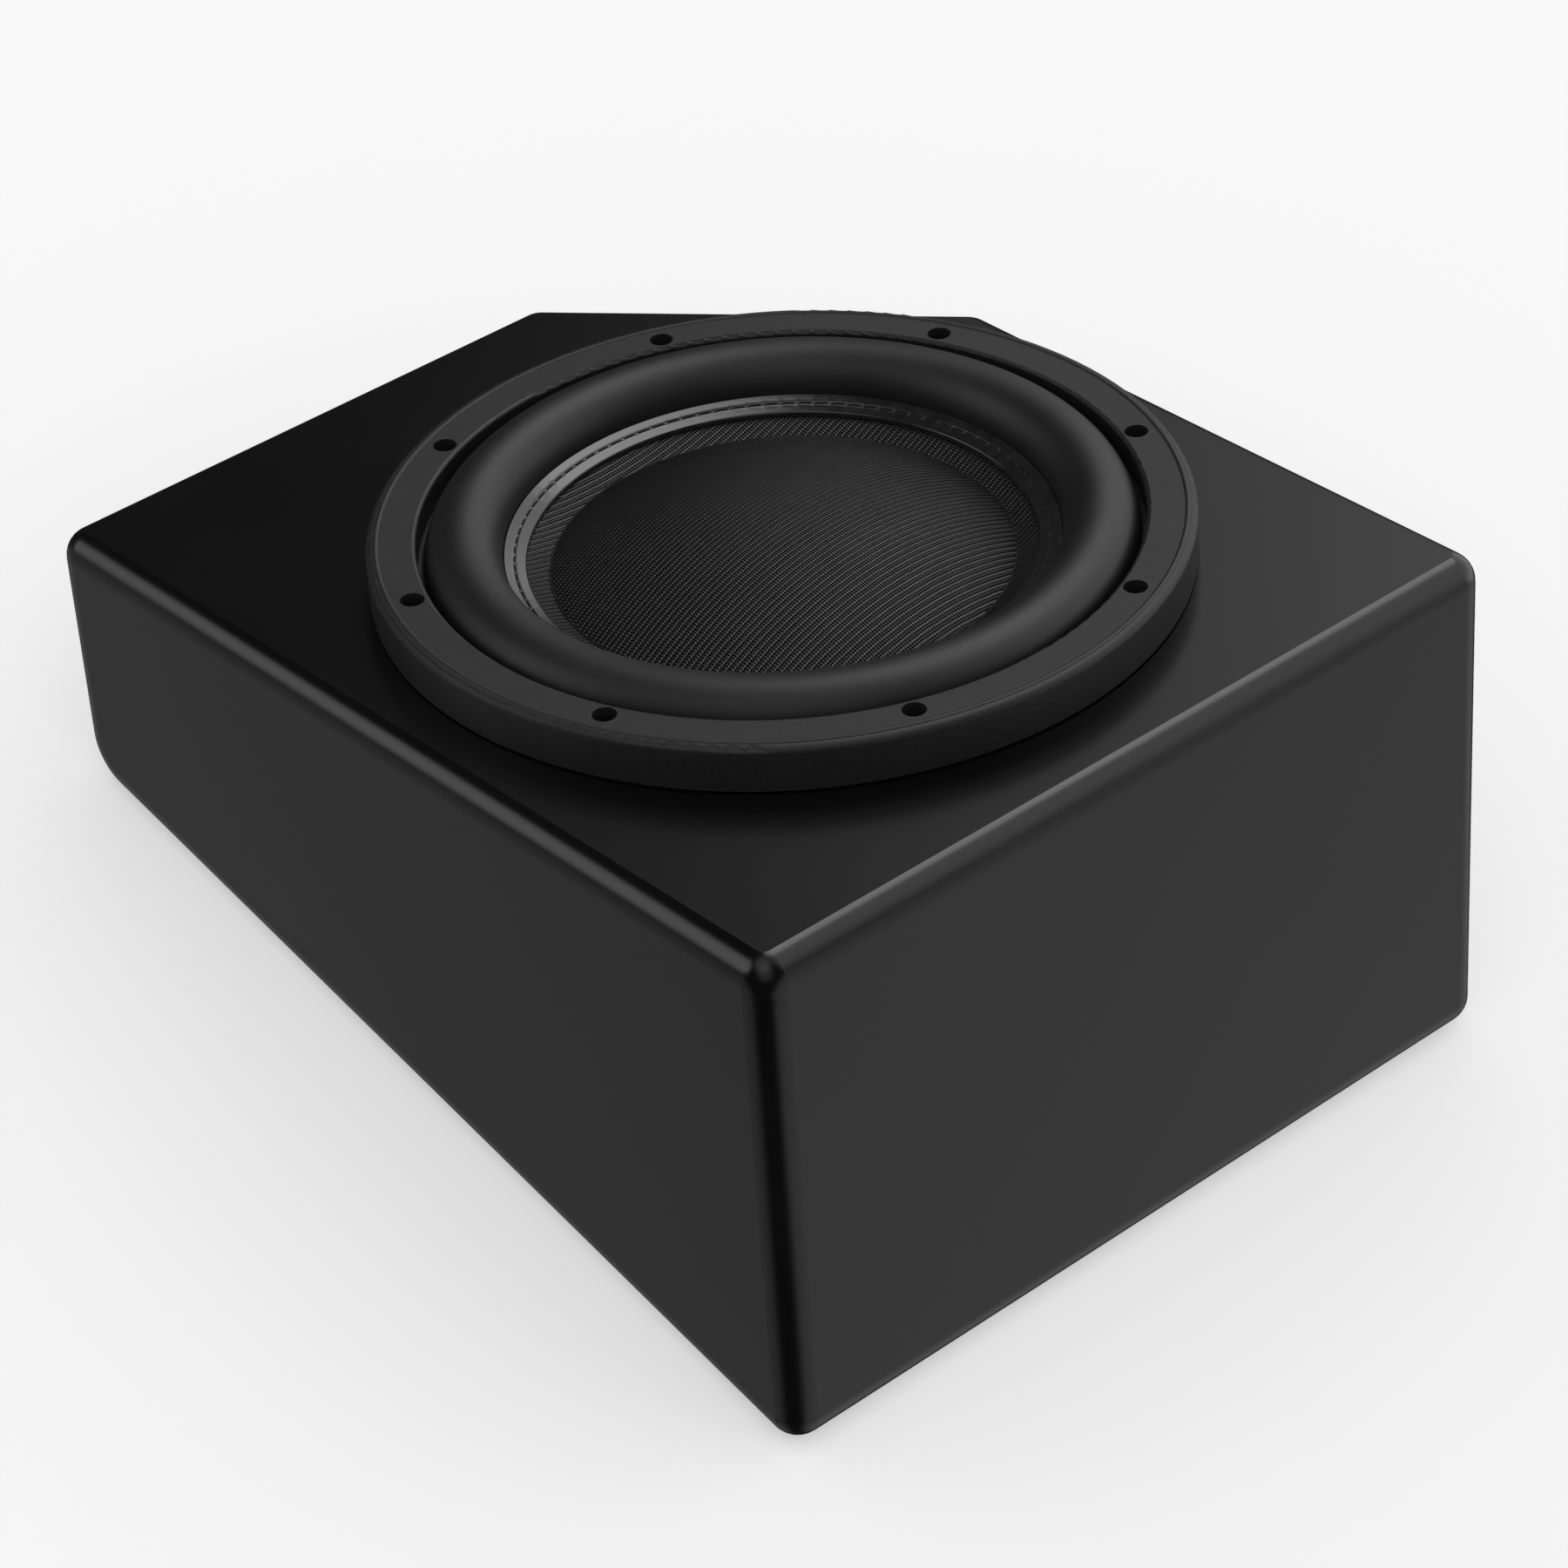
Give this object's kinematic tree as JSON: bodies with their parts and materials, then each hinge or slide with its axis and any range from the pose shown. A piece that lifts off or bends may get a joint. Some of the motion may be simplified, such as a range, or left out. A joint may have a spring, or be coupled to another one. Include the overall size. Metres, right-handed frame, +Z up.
{
  "type": "subwoofer cabinet",
  "caption": "Sealed wedge-shaped enclosure with a cut-off corner and one shallow woven-cone subwoofer driver in its sloping top board.",
  "frame": {"origin": "on the floor under the middle of the cabinet's box", "axes": "+Z up from the flat bottom panel, front panel towards -Y, the baffle falls towards +Y, the cut corner is at +X +Y"},
  "size_m": [0.38, 0.472, 0.232],
  "materials": {
    "cabinet_coat": "satin",
    "raw_board": "matte",
    "wadding": "matte",
    "ring_rubber": "matte",
    "roll_rubber": "satin",
    "band_gloss": "gloss",
    "seam_cord": "satin",
    "cone_weave": "satin",
    "cap_weave": "satin",
    "cast_frame": "matte",
    "black_foam": "matte",
    "zinc_steel": "satin",
    "black_screw": "satin",
    "motor_steel": "satin",
    "ferrite": "matte",
    "copper": "satin",
    "former_sheet": "satin",
    "spider_cloth": "matte",
    "boot_rubber": "satin",
    "screen_steel": "satin",
    "cup_plastic": "matte",
    "lever_red": "gloss",
    "lever_black": "gloss",
    "terminal_brass": "satin",
    "wire_red": "satin",
    "wire_black": "satin",
    "connector_vinyl": "satin",
    "lead_braid": "satin",
    "board_phenolic": "satin"
  },
  "bodies": {
    "cabinet": {"top_baffle": "cabinet_coat", "bottom_panel": "cabinet_coat", "front_panel": "cabinet_coat", "left_panel": "cabinet_coat", "right_panel": "cabinet_coat", "back_panel": "cabinet_coat", "corner_panel": "cabinet_coat", "glue_blocks": "raw_board", "bottom_stiffener": "raw_board", "wall_lining": "wadding", "basket": "cast_frame", "driver_gasket": "black_foam", "tee_nuts": "zinc_steel", "driver_screws": "black_screw", "trim_ring": "ring_rubber", "surround": "roll_rubber", "spider": "spider_cloth", "top_plate": "motor_steel", "front_magnet": "ferrite", "rear_magnet": "ferrite", "yoke": "motor_steel", "pole_sleeve": "copper", "magnet_boot": "boot_rubber", "vent_screen": "screen_steel", "motor_screws": "black_screw", "terminal_cup": "cup_plastic", "cup_gasket": "black_foam", "cup_screws": "black_screw", "pivot_rod": "zinc_steel", "lever_springs": "zinc_steel", "contact_strips": "terminal_brass", "lead_board": "board_phenolic", "lead_board_tabs": "terminal_brass", "connectors": "connector_vinyl", "red_wire": "wire_red", "black_wire": "wire_black", "flexible_leads": "lead_braid"},
    "cone_assembly": {"cone": "cone_weave", "edge_band": "band_gloss", "seam_thread": "seam_cord", "dust_cap": "cap_weave", "coil_former": "former_sheet", "coil_winding": "copper"},
    "red_push_lever": {"red_lever": "lever_red"},
    "black_push_lever": {"black_lever": "lever_black"}
  },
  "joints": [
    {"name": "cone_travel", "type": "slide", "parent": "cabinet", "child": "cone_assembly", "axis": [0, 0.2541, 0.9672], "range_m": [-0.012, 0.012], "stiffness_N_per_m": 2500, "springref_m": 0.00076, "deforming": ["surround", "spider", "flexible_leads"]},
    {"name": "red_lever_press", "type": "hinge", "parent": "cabinet", "child": "red_push_lever", "pos_m": [0.11494, 0.16379, 0.07704], "axis": [-0.6592, 0.7273, -0.191], "range_deg": [0, 20], "stiffness_Nm_per_rad": 0.008, "springref_deg": -5.73},
    {"name": "black_lever_press", "type": "hinge", "parent": "cabinet", "child": "black_push_lever", "pos_m": [0.13406, 0.1427, 0.08258], "axis": [-0.6592, 0.7273, -0.191], "range_deg": [0, 20], "stiffness_Nm_per_rad": 0.008, "springref_deg": -5.73}
  ]
}
